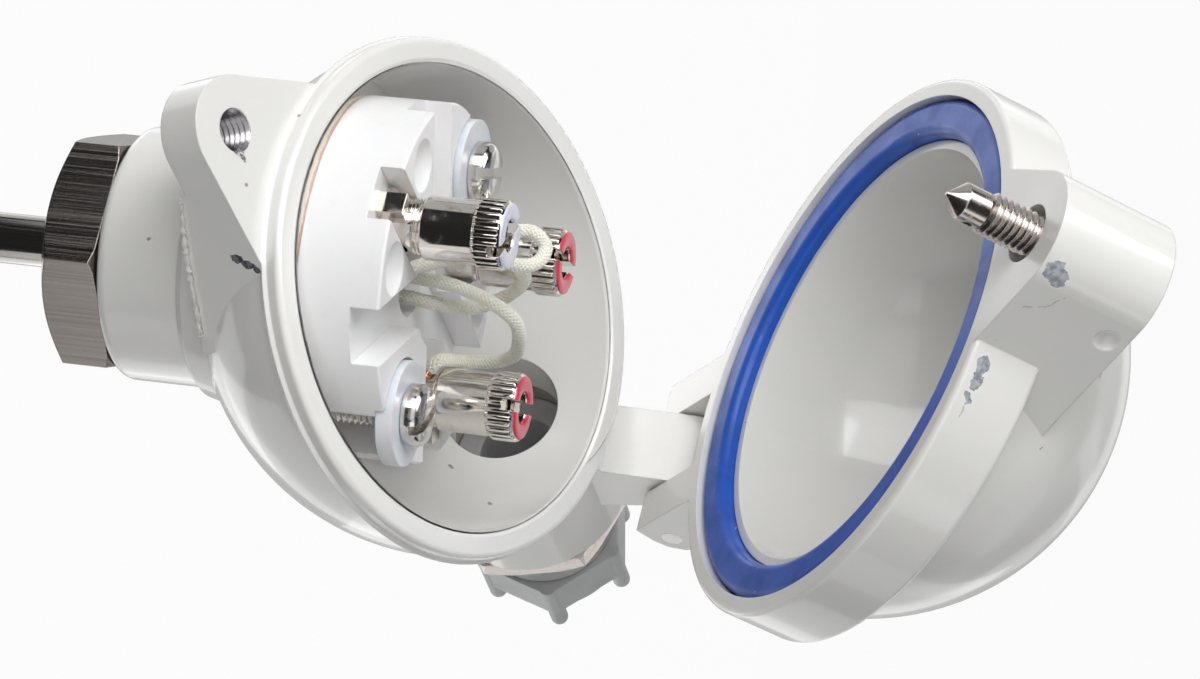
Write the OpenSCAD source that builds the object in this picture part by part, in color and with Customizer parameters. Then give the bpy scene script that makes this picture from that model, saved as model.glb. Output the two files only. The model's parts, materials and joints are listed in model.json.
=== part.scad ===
// Resistance temperature probe with a small die-cast connection head.
// Millimetres. The probe axis is Z, with the stem hanging down from the hexagon's lower face at Z = 0.
// +X points to the lid hinge and the cable gland. The head's rim is tilted up towards the hinge.

/* [Stem] */
// Diameter of the probe stem
stem_d = 6; // [5:0.1:7]
// Length of the stem below the hexagon
stem_length = 100; // [40:5:300]
// Wall of the stem tube
stem_wall = 0.5; // [0.3:0.05:0.8]
// Length of the platinum element in the tip
element_length = 15; // [8:1:25]

/* [Process fitting] */
// Width of the hexagon across its flats
hex_across_flats = 26; // [24:0.5:28]
// Height of the hexagon
hex_height = 7; // [5:0.5:7.5]
// Outer diameter of the thread that screws into the neck
neck_thread_d = 23.4; // [22:0.1:24]

/* [Head] */
// Outer radius of the round bowl
bowl_r = 30.3; // [30:0.1:30.6]
// Inner radius of the bowl
bowl_inner_r = 27.5; // [26.5:0.1:27.8]
// Tilt of the rim from square to the probe axis
rim_tilt = 27; // [20:1:30]
// Height of the rim's centre on the probe axis
rim_height = 46.15; // [45:0.1:48]
// Outer radius of the neck
neck_r = 15; // [14:0.1:16]
// Height of the floor that the insert stands on
floor_height = 32.5; // [31.5:0.5:33.5]

/* [Cable entry] */
// Outer radius of the cable boss
boss_r = 12; // [11:0.1:12.5]
// Distance from the probe axis to the boss's end face
boss_reach = 48.8; // [46:0.1:52]
// Radius of the thread in the boss
entry_thread_r = 10; // [9:0.1:10.2]
// Radius of the cable hole in the gland seal
cable_r = 4; // [2.5:0.1:4.5]

/* [Terminal block] */
// Diameter of the ceramic block
block_d = 42; // [41:0.1:42.4]
// Height of the ceramic block
block_height = 10; // [9:0.5:12]
// Spacing of the two mounting screws
screw_spacing = 32.7; // [32:0.1:34]
// Radius of the circle that the terminals stand on
terminal_circle_r = 13.6; // [13:0.1:14]
// Diameter of the terminal's clamping sleeve
sleeve_d = 7.4; // [6.8:0.1:7.8]
// Height of the clamping sleeve
sleeve_height = 9.9; // [9:0.1:12]

/* [Lid] */
// Outer radius of the lid's band
band_r = 33.3; // [33:0.1:34]
// Outer radius of the lid's dome
dome_r = 30; // [29.4:0.1:31]
// Angle that the lid stands open
lid_open = 67; // [20:1:95]
// Distance from the rim's centre to the hinge pin
hinge_reach = 42.2; // [42:0.1:43]
// Distance from the rim's centre to the lid screw
screw_reach = 37.8; // [37.5:0.1:38.5]
// Diameter of the lid screw
lid_screw_d = 5; // [4:0.1:5]

/* [Hidden] */
$fn = 96;

// Clearances: between threaded pieces, of a running fit, and between loose pieces.
thread_gap = 0.05;
running_gap = 0.05;
loose_gap = 0.3;
// Overlap of the pieces of one casting, so that they fuse.
bite = 0.5;

// Head.
rim_x = 2.45;
lip_r = bowl_r + 0.3;
lip_foot_r = bowl_r + 0.7;
lip_height = 2.2;
lip_round = 0.8;
neck_bottom = hex_height + 0.3;
neck_bore_r = neck_thread_d / 2 + thread_gap;
neck_bore_top = floor_height - 5.5;
neck_round = 1.3;
neck_collar_r = neck_r + 1.1;
neck_collar_bottom = 17.4;
pocket_r = block_d / 2 + 0.5;
floor_hole_r = 5;
tap_r = 2;
tap_depth = 8;
shoulder_half = 12;
shoulder_x = 28.6;
ear_tip_r = 6.3;
ear_edge = 5.4;
ear_web_height = 21.6;
ear_hole_r = lid_screw_d / 2;
arm_half = 4.6;
hinge_rise = 2.5;
knuckle_r = 4.6;
hinge_pin_r = 1.3;

// Cable entry and gland.
entry_height = 45.5;
entry_hole_r = 7;
entry_thread_depth = 13;
reducer_hex_r = 12.7;
reducer_height = 3;
body_thread_r = 7.9;
collar_r = 8.5;
collar_length = 7;
nose_r = 7.6;
nose_length = 4.4;
seal_r = 6.5;
nut_hex_r = 10.3;
nut_hex_length = 5.5;
nut_dome_length = 2.6;
nut_rib_r = 1.1;
nut_mouth_r = 5.6;
reducer_turn = 47.2;
nut_turn = 17.2;

// Stem end in the fitting.
spigot_r = stem_d / 2 - 0.4;
stem_top = 10;

// Terminal block and what stands on it.
gasket_height = 1.5;
block_bottom = floor_height + gasket_height;
block_top = block_bottom + block_height;
well_floor = block_top - 3.4;
terminal_floor = block_top - 2.8;
seat_depth = 1.2;
well_width = 6.6;
well_r = 7.4;
dimple_r = 3.1;
dimple_depth = 1.5;
dimple_circle_r = 16.7;
dimple_angles = [-155.1, 156.9, -24, 23];
wire_hole_r = 4.2;
screw_slot_w = 9.4;
terminal_angles = [181.7, -48, 46];
// The tapped holes for the insert's screws stand a little off centre.
screw_offset = -0.85;
spare_angles = [-132, 132, 0];
post_r = 3.1;
post_hole_r = 0.95;
post_hole_height = block_top - 0.7;
sleeve_bottoms = [block_top + 1.9, block_top + 1.1, block_top + 1.6];
sleeve_slot_angles = [60, 25, 15];
collar_knurl_d = sleeve_d + 0.7;
collar_knurl_length = 3.2;
slot_w = 1.3;
slot_depth = 1.6;
washer_r = 6.1;
washer_height = 2;
washer_bottom = block_top - seat_depth;
screw_head_r = 3.6;
screw_head_height = 2.6;
lead_r = 0.85;
lead_start = stem_top + 0.1;

// Lid, in its own closed position on the rim.
lid_face = -1.5;
band_top = 7;
dome_center = 1.6;
cavity_r = dome_r - 4.6;
cavity_center = 3.5;
groove_inner_r = cavity_r + 1.1;
groove_outer_r = band_r - 2.2;
groove_floor = 5;
inner_lip_top = 0.8;
side_gap = 0.1;
seal_top = -1;
seal_round = 1.1;
boss_tip_r = 7.4;
boss_top = 12.7;
lid_hole_r = lid_screw_d / 2 + 0.2;
head_pocket_r = 4.8;
head_pocket_floor = 7.6;
lid_ear_half = 10;
screw_tip = -12;
screw_cone_end = -10.3;
screw_shank_start = -7;
screw_dog_r = lid_screw_d / 2 - 0.4;
screw_head_bore_gap = 0.5;
spring_washer_height = 0.8;

// Points along the centre line of each lead, from the top of the stem to its terminal post.
lead_route_1 = [[-1.13, -0.65, lead_start], [-1.5, -0.6, floor_height - 10.5],
                [-1.6, -0.4, block_bottom + 1], [-2.6, -0.1, block_top - 3.6], [-2.2, 0.9, block_top - 2],
                [-1.9, 1.9, block_top], [-3, 3.4, block_top + 4], [-3.8, 5.4, block_top + 8],
                [-3.4, 6.2, block_top + 10.6], [-2, 5.2, block_top + 12.2], [-2.4, 2.8, block_top + 11.8],
                [-4.2, 1.2, block_top + 10.3], [-6.6, 0.5, block_top + 7.5], [-7.9, 0.1, block_top + 4],
                [-8.3, 0, block_top + 1], [-9.2, 0, block_top - 0.4], [-10.2, 0, block_top - 0.6]];
lead_route_2 = [[0, 1.3, lead_start], [0.3, 1.6, floor_height - 10.5], [0.2, 1.4, block_bottom + 1],
                [0.2, 0.8, block_top - 4.4], [0.8, 0.9, block_top - 2], [1.3, 0.8, block_top + 1],
                [2, 0.3, block_top + 4], [2.6, -0.5, block_top + 6.5], [4.4, -1, block_top + 8.3],
                [6.7, -1.3, block_top + 8.7], [9.1, -1.6, block_top + 8.3], [11.6, -1.9, block_top + 7.4],
                [13.1, -2.1, block_top + 5.4], [12, -3.2, block_top + 3], [9.2, -4.9, block_top + 1.7],
                [6.6, -6.3, block_top + 1], [5.5, -7.2, block_top + 0.4], [6.1, -8, block_top - 0.3]];
lead_route_3 = [[1.13, -0.65, lead_start], [1.5, -0.9, floor_height - 10.5], [1.7, -0.9, block_bottom + 1],
                [2.4, -0.8, block_top - 4.6], [3.2, -0.8, block_top - 1.6], [5, -0.1, block_top + 1],
                [6, 0.8, block_top + 3.2], [5.6, 1.9, block_top + 5.9], [4.6, 3.1, block_top + 8],
                [2.6, 3.5, block_top + 9.1], [0.2, 3.4, block_top + 8.9], [-0.9, 3.5, block_top + 7.3],
                [-0.2, 4.4, block_top + 5], [1.5, 5.4, block_top + 2.8], [4.4, 6.2, block_top + 0.7],
                [6.3, 6.4, block_top - 0.2], [7.2, 7, block_top - 0.5]];

function screw_y(side) = side * screw_spacing / 2 + screw_offset;

// Frames.

// Places children in the rim's frame: origin at the rim's centre, z' square to the rim.
module at_rim() {
    translate([rim_x, 0, rim_height]) rotate([0, -rim_tilt, 0]) children();
}

// Places the lid's closed frame as it stands open on the hinge pin.
module at_lid() {
    at_rim() translate([hinge_reach, 0, hinge_rise]) rotate([0, lid_open, 0])
        translate([-hinge_reach, 0, -hinge_rise]) children();
}

// Points the child's z axis along world +X at the height of the cable entry.
module at_entry(x) {
    translate([x, 0, entry_height]) rotate([0, 90, 0]) children();
}

// Places children at a terminal's axis, with x' pointing outwards.
module at_terminal(i) {
    rotate([0, 0, terminal_angles[i]]) translate([terminal_circle_r, 0, 0]) children();
}

// Shared shapes.

module ring(r_out, r_in, h) {
    rotate_extrude() translate([r_in, 0]) square([r_out - r_in, h]);
}

// Flat drop shape: a round tip at x = -reach whose tangents open out to the shoulder.
module drop_outline(reach, tip_r) {
    run = reach - shoulder_x;
    gap = norm([run, shoulder_half]);
    turn = atan2(shoulder_half, run) + acos(tip_r / gap);
    touch = [-reach + tip_r * cos(turn), tip_r * sin(turn)];
    slope = (shoulder_half - touch[1]) / (-shoulder_x - touch[0]);
    inner_x = -20;
    inner_y = shoulder_half + slope * (inner_x + shoulder_x);
    translate([-reach, 0]) circle(tip_r);
    polygon([touch, [inner_x, inner_y], [inner_x, -inner_y], [touch[0], -touch[1]]]);
}

// Outline turned about Y and stretched evenly to both sides of the plane y = 0.
module plate_y(y0, y1) {
    rotate([90, 0, 0]) translate([0, 0, -y1]) linear_extrude(y1 - y0) children();
}

// Slot across the end of a screw.
module driver_slot(r, top, depth, w) {
    translate([-r - 1, -w / 2, top - depth]) cube([2 * r + 2, w, depth + 1]);
}

// One tube swept along a list of points, with eight sides.
function unit(v) = v / norm(v);
function heading(p, i) =
    unit(i == 0 ? p[1] - p[0]
       : i == len(p) - 1 ? p[i] - p[i - 1]
       : unit(p[i + 1] - p[i]) + unit(p[i] - p[i - 1]));
function carried(side, t) = unit(side - (side * t) * t);
function side_at(p, i) = i == 0 ? carried([1, 0.2, 0], heading(p, 0)) : carried(side_at(p, i - 1), heading(p, i));
module swept_tube(p, r) {
    sides = 8;
    rings = len(p);
    points = [for (i = [0 : rings - 1])
        let(t = heading(p, i), u = side_at(p, i), v = cross(t, u))
        for (k = [0 : sides - 1]) p[i] + r * (cos(k * 360 / sides) * u + sin(k * 360 / sides) * v)];
    faces = concat(
        [[for (k = [0 : sides - 1]) k]],
        [for (i = [0 : rings - 2]) for (k = [0 : sides - 1])
            let(a = i * sides + k, b = i * sides + (k + 1) % sides)
            [a, a + sides, b + sides, b]],
        [[for (k = [sides - 1 : -1 : 0]) (rings - 1) * sides + k]]);
    polyhedron(points, faces);
}

// Head body: one die casting with the bowl, the neck, the ear, the hinge arm and the cable boss.

// Solid of revolution of the bowl about the rim's axis, with its rounded lip.
module bowl_solid() {
    at_rim() rotate_extrude() {
        difference() {
            circle(bowl_r);
            translate([-bowl_r - 1, -bowl_r - 1]) square([bowl_r + 1, 2 * bowl_r + 2]);
            translate([0, -lip_height]) square([bowl_r + 1, bowl_r + 4]);
        }
        translate([0, -lip_height - bite]) square([bowl_r - bite, lip_height + bite]);
        polygon([[0, -lip_height - 1], [bowl_r - 0.1, -lip_height - 1], [lip_foot_r, -lip_height],
                 [lip_r, -lip_height + 0.4], [lip_r, -lip_round], [lip_r - lip_round, 0], [0, 0]]);
        translate([lip_r - lip_round, -lip_round]) circle(lip_round);
    }
}

module neck_solid() {
    rotate_extrude() {
        translate([0, neck_bottom]) square([neck_r - neck_round, neck_round + bite]);
        translate([neck_r - neck_round, neck_bottom + neck_round]) circle(neck_round);
        translate([0, neck_bottom + neck_round]) square([neck_r, 24 - neck_bottom - neck_round]);
        polygon([[0, neck_collar_bottom], [neck_r, neck_collar_bottom], [neck_collar_r, neck_collar_bottom + 1],
                 [neck_collar_r + 1.4, 24], [0, 24]]);
    }
}

// Ear for the lid screw: a drop-shaped plate under the lip with a web that runs down to the neck.
module ear_solid() {
    web_drop = (ear_web_height - rim_height) / cos(rim_tilt);
    web_slope = tan(rim_tilt);
    tip_edge = -lip_height - ear_edge;
    web_x = -screw_reach + 2.2;
    at_rim() intersection() {
        translate([0, 0, -bowl_r]) linear_extrude(bowl_r - lip_height) drop_outline(screw_reach, ear_tip_r);
        plate_y(-20, 20) polygon([
            [-50, -lip_height], [-20, -lip_height], [-20, web_drop + 20 * web_slope],
            [web_x, web_drop - web_x * web_slope], [web_x - 1.8, tip_edge], [-50, tip_edge]]);
    }
}

module arm_outline() {
    translate([hinge_reach, hinge_rise]) circle(knuckle_r);
    // Inner and outer flanks run from the knuckle down to the bowl and the cable boss.
    polygon([[hinge_reach - 4.2, hinge_rise + 1.9], [lip_foot_r + 3.2, -lip_height - 0.2], [lip_foot_r + 2.6, -3.5],
             [lip_foot_r - 2, -3.5], [lip_foot_r - 5, -14], [hinge_reach - 2.2, -16], [hinge_reach - 1.1, -8],
             [hinge_reach + 0.1, -3.6], [hinge_reach + 4.5, hinge_rise - 0.9]]);
}

module boss_solid() {
    at_entry(rim_x + 12) cylinder(r = boss_r, h = boss_reach - rim_x - 12);
    // Flare where the boss grows out of the bowl.
    at_entry(26) cylinder(r1 = boss_r + 3.2, r2 = boss_r, h = 9);
}

module bowl_cavity() {
    intersection() {
        at_rim() rotate_extrude() {
            difference() {
                circle(bowl_inner_r);
                translate([-bowl_inner_r - 1, -bowl_inner_r - 1]) square([bowl_inner_r + 1, 2 * bowl_inner_r + 2]);
            }
            polygon([[0, 0], [bowl_inner_r, 0], [bowl_inner_r, -0.7], [bowl_inner_r + 0.15, -0.25],
                     [bowl_inner_r + 0.6, 0.01], [bowl_inner_r + 0.6, 4], [0, 4]]);
        }
        translate([-50, -50, floor_height]) cube([100, 100, 60]);
    }
    translate([0, 0, floor_height]) cylinder(r = pocket_r, h = 4);
}

module head_body() {
    color([0.86, 0.86, 0.83]) difference() {
        union() {
            bowl_solid();
            neck_solid();
            ear_solid();
            boss_solid();
            at_rim() plate_y(-arm_half, arm_half) arm_outline();
        }
        bowl_cavity();
        // Neck bore with its thread, and the hole in the floor.
        translate([0, 0, neck_bottom - 1]) cylinder(r = neck_bore_r, h = neck_bore_top - neck_bottom + 1);
        translate([0, 0, neck_bore_top - 1]) cylinder(r = floor_hole_r, h = 8);
        // Tapped holes for the insert's screws.
        for (side = [-1, 1])
            translate([0, screw_y(side), floor_height - tap_depth])
                cylinder(r = tap_r + thread_gap, h = tap_depth + 1);
        // Tapped hole for the lid screw.
        at_rim() translate([-screw_reach, 0, -lip_height - 12]) cylinder(r = ear_hole_r, h = 14);
        // Hinge pin bore.
        at_rim() translate([hinge_reach, 0, hinge_rise]) rotate([90, 0, 0])
            cylinder(r = hinge_pin_r + running_gap, h = 2 * arm_half + 2, center = true);
        // Cable entry: wall hole and thread.
        at_entry(rim_x + 10) cylinder(r = entry_hole_r, h = boss_reach);
        at_entry(boss_reach - entry_thread_depth) cylinder(r = entry_thread_r + thread_gap, h = entry_thread_depth + 1);
    }
}

// Process fitting: hexagon, relief and the thread in the neck, bored for the stem.
module hex_fitting() {
    corner_r = hex_across_flats / sqrt(3);
    color([0.55, 0.53, 0.5]) difference() {
        union() {
            intersection() {
                rotate([0, 0, 36]) cylinder(r = corner_r, h = hex_height, $fn = 6);
                rotate_extrude() polygon([[0, 0], [corner_r - 2, 0], [corner_r + 0.1, 1.2],
                                          [corner_r + 0.1, hex_height - 0.5], [corner_r - 0.8, hex_height],
                                          [0, hex_height]]);
            }
            translate([0, 0, hex_height - 0.2]) cylinder(r = neck_thread_d / 2 - 0.8, h = 4);
            translate([0, 0, neck_bottom]) cylinder(r = neck_thread_d / 2, h = neck_bore_top - neck_bottom - 2);
        }
        translate([0, 0, -1]) cylinder(r = spigot_r + thread_gap, h = stem_top + 2);
        // Hollow for the leads above the end of the stem.
        translate([0, 0, stem_top]) cylinder(r = 8, h = 30);
    }
}

// Stem: a thin tube with a closed round tip, turned down where it is brazed into the hexagon.
module probe_stem() {
    r = stem_d / 2;
    bore = r - stem_wall;
    tip = r - stem_length;
    color([0.5, 0.49, 0.48]) rotate_extrude() difference() {
        union() {
            translate([0, tip]) square([r, -tip]);
            square([spigot_r, stem_top]);
            translate([0, tip]) intersection() {
                circle(r);
                translate([0, -r]) square([r, r + 0.5]);
            }
        }
        translate([0, tip]) square([bore, -tip - 1]);
        translate([0, -1.5]) square([spigot_r - 0.3, stem_top + 2]);
        translate([0, tip]) intersection() {
            circle(bore);
            translate([0, -r]) square([r, r + 0.5]);
        }
    }
}

// Sensing element: the platinum resistor in the tip.
module sensing_element() {
    color([0.93, 0.92, 0.88]) translate([0, 0, stem_d / 2 - stem_length + 0.5])
        cylinder(r = stem_d / 2 - stem_wall - 0.2, h = element_length);
}

// Insulator core: packed magnesia round the conductors, from the element to the top of the stem.
module insulator_core() {
    core_bottom = stem_d / 2 - stem_length + 0.7 + element_length;
    color([0.8, 0.78, 0.74]) {
        translate([0, 0, core_bottom])
            cylinder(r = stem_d / 2 - stem_wall - thread_gap, h = -1.6 - core_bottom);
        translate([0, 0, -2]) cylinder(r = spigot_r - 0.3 - thread_gap, h = stem_top + 2);
    }
}

// Fibre gasket between the floor of the bowl and the ceramic.
module fibre_gasket() {
    color([0.85, 0.78, 0.66]) translate([0, 0, floor_height]) difference() {
        cylinder(r = block_d / 2 - 0.1, h = gasket_height);
        translate([0, 0, -1]) cylinder(r = wire_hole_r, h = gasket_height + 2);
        for (side = [-1, 1])
            translate([0, screw_y(side), -1]) cylinder(r = tap_r + loose_gap, h = gasket_height + 2);
    }
}

// Flat outline of an open-ended well, from the middle recess out through the rim of the block.
module well_outline(angle) {
    rotate(angle) translate([well_r - 2, -well_width / 2]) square([block_d / 2, well_width]);
}

// Terminal block: a white ceramic puck with wells, dimpled lands and slots for the two screws.
module terminal_block() {
    edge = 0.25;
    dimple_ball_r = (dimple_r * dimple_r + dimple_depth * dimple_depth) / (2 * dimple_depth);
    color([0.95, 0.95, 0.95]) difference() {
        translate([0, 0, block_bottom]) rotate_extrude()
            polygon([[wire_hole_r, 0], [block_d / 2, 0], [block_d / 2, block_height - edge],
                     [block_d / 2 - edge, block_height], [wire_hole_r, block_height]]);
        // Middle recess and the empty wells share one floor; the wells with terminals are shallower.
        translate([0, 0, well_floor]) linear_extrude(block_height) {
            circle(well_r);
            for (angle = spare_angles) well_outline(angle);
        }
        translate([0, 0, terminal_floor]) linear_extrude(block_height)
            for (angle = terminal_angles) well_outline(angle);
        for (angle = dimple_angles)
            rotate([0, 0, angle]) translate([dimple_circle_r, 0, block_top - dimple_depth + dimple_ball_r])
                sphere(r = dimple_ball_r);
        for (side = [-1, 1]) {
            // Slot for the screw, open at the rim.
            translate([0, side * screw_spacing / 2, block_bottom - 1]) linear_extrude(block_height + 2) {
                circle(screw_slot_w / 2);
                translate([-screw_slot_w / 2, side > 0 ? 0 : -block_d / 2]) square([screw_slot_w, block_d / 2]);
            }
            // Seat for the washer.
            translate([0, screw_y(side), washer_bottom]) cylinder(r = washer_r + 0.3, h = 3);
        }
    }
}

// Terminal post: a square foot in the well and a round stud with a cross hole for the wire.
module terminal_post(i) {
    foot_depth = 2.6;
    foot_out = 5.2;
    foot_height = 3.2;
    color([0.78, 0.76, 0.72]) at_terminal(i) difference() {
        union() {
            translate([0, 0, terminal_floor])
                cylinder(r = post_r, h = sleeve_bottoms[i] + sleeve_height - 2.4 - terminal_floor);
            translate([0, -2.8, terminal_floor]) cube([3.4, 5.6, 1.2]);
            translate([foot_out - foot_depth, -1.3, terminal_floor]) cube([foot_depth, foot_depth, foot_height]);
            translate([1, -1.3, terminal_floor]) cube([foot_out - 1, 2.6, 1.2]);
        }
        translate([0, 0, post_hole_height]) rotate([90, 0, 0]) cylinder(r = post_hole_r, h = 20, center = true);
        // Worn front edge of the foot.
        translate([foot_out, -2, terminal_floor + foot_height]) rotate([0, 45, 0]) cube([1, 4, 1], center = false);
    }
}

// Clamping sleeve: a cap nut with a plain skirt, a knurled collar and a slotted face.
module terminal_sleeve(i) {
    color([0.8, 0.79, 0.76]) at_terminal(i) translate([0, 0, sleeve_bottoms[i]]) difference() {
        rotate_extrude() {
            polygon([[0, 0], [sleeve_d / 2 - 0.2, 0], [sleeve_d / 2, 0.2],
                     [sleeve_d / 2, sleeve_height - collar_knurl_length - 0.3],
                     [collar_knurl_d / 2, sleeve_height - collar_knurl_length],
                     [collar_knurl_d / 2, sleeve_height - 0.3],
                     [collar_knurl_d / 2 - 0.3, sleeve_height], [0, sleeve_height]]);
        }
        translate([0, 0, -1]) cylinder(r = post_r + running_gap, h = sleeve_height - 2.2 + 1);
        rotate([0, 0, sleeve_slot_angles[i] - terminal_angles[i]])
            driver_slot(collar_knurl_d, sleeve_height, slot_depth, slot_w);
    }
}

// Mounting screw: M4 with a slotted pan head.
module mount_screw(side) {
    head_bottom = washer_bottom + washer_height;
    tip = floor_height - tap_depth + 1;
    color([0.75, 0.73, 0.7]) translate([0, screw_y(side), 0]) difference() {
        rotate_extrude() {
            polygon([[0, tip], [tap_r - 0.5, tip], [tap_r, tip + 0.5], [tap_r, head_bottom + 0.2],
                     [0, head_bottom + 0.2]]);
            polygon([[0, head_bottom], [screw_head_r, head_bottom], [screw_head_r, head_bottom + 1.5],
                     [screw_head_r - 0.5, head_bottom + 2.2], [screw_head_r - 1.4, head_bottom + screw_head_height],
                     [0, head_bottom + screw_head_height]]);
        }
        rotate([0, 0, side > 0 ? 34 : 61])
            driver_slot(screw_head_r, head_bottom + screw_head_height, slot_depth, slot_w);
    }
}

// Nylon washer under the mounting screw's head.
module mount_washer(side) {
    color([0.9, 0.92, 0.95]) translate([0, screw_y(side), washer_bottom])
        ring(washer_r, tap_r + thread_gap, washer_height);
}

module lead_wire(route) {
    color([0.9, 0.9, 0.82]) swept_tube(route, lead_r);
}

// Lid: one die casting with the band, the dome, the seal groove, the screw boss and two hinge ears.

module lid_outer() {
    edge = 0.7;
    rotate_extrude() {
        translate([0, lid_face + edge]) square([band_r, band_top - 2 * edge - lid_face]);
        translate([0, lid_face]) square([band_r - edge, edge]);
        translate([band_r - edge, lid_face + edge]) circle(edge);
        translate([0, band_top - edge]) square([band_r - edge, edge]);
        translate([band_r - edge, band_top - edge]) circle(edge);
        intersection() {
            translate([0, dome_center]) circle(dome_r);
            square([dome_r + 1, dome_center + dome_r + 1]);
        }
    }
    // Fillet between the band and the dome.
    rotate_extrude() polygon([[dome_r - 4, band_top - 1], [dome_r + 0.4, band_top - 1], [dome_r - 0.3, band_top + 0.4],
                              [dome_r - 1.4, band_top + 2.2], [dome_r - 4, band_top + 2.2]]);
}

module lid_ear_outline() {
    root = min(dome_r, band_r - 1);
    polygon([[root, lid_face], [hinge_reach + 1.9, lid_face], [hinge_reach + 2.5, hinge_rise - 1.2],
             [hinge_reach + 2.4, hinge_rise + 0.8], [hinge_reach + 1.2, hinge_rise + 2.7],
             [hinge_reach - 2.2, band_top], [root, band_top + 0.8]]);
}

module lid() {
    color([0.87, 0.87, 0.84]) at_lid() difference() {
        union() {
            lid_outer();
            translate([0, 0, lid_face]) linear_extrude(boss_top - lid_face)
                drop_outline(screw_reach, boss_tip_r);
            for (y = [-lid_ear_half, arm_half + loose_gap])
                plate_y(y, y + lid_ear_half - arm_half - loose_gap) lid_ear_outline();
        }
        // Inside of the dome: a cylinder that runs smoothly into a sphere.
        rotate_extrude() {
            translate([0, lid_face - 1]) square([cavity_r, cavity_center - lid_face + 1]);
            translate([0, cavity_center]) intersection() {
                circle(cavity_r);
                square(cavity_r + 1);
            }
        }
        // Groove of the seal, with the inner lip standing lower than the band.
        translate([0, 0, lid_face - 1]) ring(groove_outer_r, groove_inner_r, groove_floor - lid_face + 1);
        translate([0, 0, lid_face - 1]) ring(groove_inner_r + 0.1, cavity_r - 0.1, inner_lip_top - lid_face + 1);
        // Screw hole with the pocket for the screw's head.
        translate([-screw_reach, 0, lid_face - 1]) cylinder(r = lid_hole_r, h = 20);
        translate([-screw_reach, 0, head_pocket_floor]) cylinder(r = head_pocket_r, h = 10);
        translate([-screw_reach, 0, lid_face - 1]) cylinder(r = lid_screw_d / 2 + 0.9, h = 1 + 2.3);
        // Small recess in the side of the boss.
        translate([-screw_reach - 0.8, -9, boss_top - 2.3]) sphere(r = 1.9);
        // Hinge pin bore.
        translate([hinge_reach, 0, hinge_rise]) rotate([90, 0, 0])
            cylinder(r = hinge_pin_r + 0.01, h = 2 * lid_ear_half + 2, center = true);
        // Slot between the ears for the arm.
        translate([band_r + 0.6, -arm_half - loose_gap, lid_face - 1])
            cube([20, 2 * (arm_half + loose_gap), 20]);
    }
}

// Seal: a blue moulded ring pressed into the lid's groove, with a round bead towards the rim.
module lid_seal() {
    inner = groove_inner_r + side_gap;
    outer = groove_outer_r - side_gap;
    shoulder = seal_top + seal_round;
    color([0.12, 0.3, 0.78]) at_lid() rotate_extrude() {
        translate([inner, shoulder]) square([outer - inner, groove_floor - side_gap - shoulder]);
        translate([inner + seal_round, seal_top]) square([outer - inner - 2 * seal_round, 2 * seal_round]);
        for (x = [inner + seal_round, outer - seal_round]) translate([x, shoulder]) circle(seal_round);
    }
}

// Lid screw: slotted head, thread, plain dog with a cross hole, and a cone point.
module lid_screw() {
    head_bottom = head_pocket_floor + spring_washer_height;
    head_r = head_pocket_r - screw_head_bore_gap;
    color([0.68, 0.66, 0.63]) at_lid() translate([-screw_reach, 0, 0]) difference() {
        rotate_extrude() {
            polygon([[0, screw_tip], [0.3, screw_tip], [screw_dog_r - 0.2, screw_cone_end],
                     [screw_dog_r, screw_cone_end + 0.3], [screw_dog_r, screw_shank_start - 0.2],
                     [lid_screw_d / 2, screw_shank_start + 0.3], [lid_screw_d / 2, head_bottom + 0.2],
                     [0, head_bottom + 0.2]]);
            polygon([[0, head_bottom], [head_r, head_bottom], [head_r, head_bottom + 2.6],
                     [head_r - 0.6, head_bottom + 3.2], [0, head_bottom + 3.2]]);
        }
        rotate([0, 0, 40]) driver_slot(head_r, head_bottom + 3.2, slot_depth, slot_w);
        // Cross hole in the dog.
        translate([0, 0, screw_shank_start - 1.4]) rotate([90, 0, 15]) cylinder(r = 0.6, h = 10, center = true);
    }
}

// Washer that travels with the lid screw under its head.
module lid_screw_washer() {
    color([0.6, 0.58, 0.55]) at_lid() translate([-screw_reach, 0, head_pocket_floor])
        ring(head_pocket_r - screw_head_bore_gap, lid_screw_d / 2 + running_gap, spring_washer_height);
}

// Hinge pin, held in the lid's ears and turning in the head's arm.
module hinge_pin() {
    color([0.6, 0.6, 0.6]) at_rim() translate([hinge_reach, 0, hinge_rise]) rotate([90, 0, 0])
        cylinder(r = hinge_pin_r, h = 2 * lid_ear_half, center = true);
}

// Gland reducer: a plated hexagon ring that screws into the cable boss.
module gland_reducer() {
    color([0.72, 0.66, 0.62]) at_entry(boss_reach) difference() {
        union() {
            intersection() {
                rotate([0, 0, reducer_turn]) cylinder(r = reducer_hex_r, h = reducer_height, $fn = 6);
                rotate_extrude() polygon([[0, 0], [reducer_hex_r - 0.2, 0], [reducer_hex_r, reducer_height - 1],
                                          [reducer_hex_r - 1.3, reducer_height], [0, reducer_height]]);
            }
            translate([0, 0, 0.5 - entry_thread_depth]) cylinder(r = entry_thread_r, h = entry_thread_depth);
        }
        translate([0, 0, -entry_thread_depth]) cylinder(r = body_thread_r + thread_gap, h = 30);
    }
}

// Gland body: plastic, with its thread in the reducer, a collar and a nose for the nut.
module gland_body() {
    collar_end = reducer_height + collar_length;
    color([0.72, 0.74, 0.76]) at_entry(boss_reach) difference() {
        union() {
            translate([0, 0, -8]) cylinder(r = body_thread_r, h = 8 + reducer_height + 0.2);
            translate([0, 0, reducer_height]) cylinder(r = collar_r, h = collar_length);
            translate([0, 0, collar_end - 0.2]) cylinder(r = nose_r, h = nose_length + 0.2);
        }
        translate([0, 0, -9]) cylinder(r = cable_r + 1, h = 40);
        translate([0, 0, reducer_height + 3]) cylinder(r = seal_r + thread_gap, h = 20);
    }
}

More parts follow.
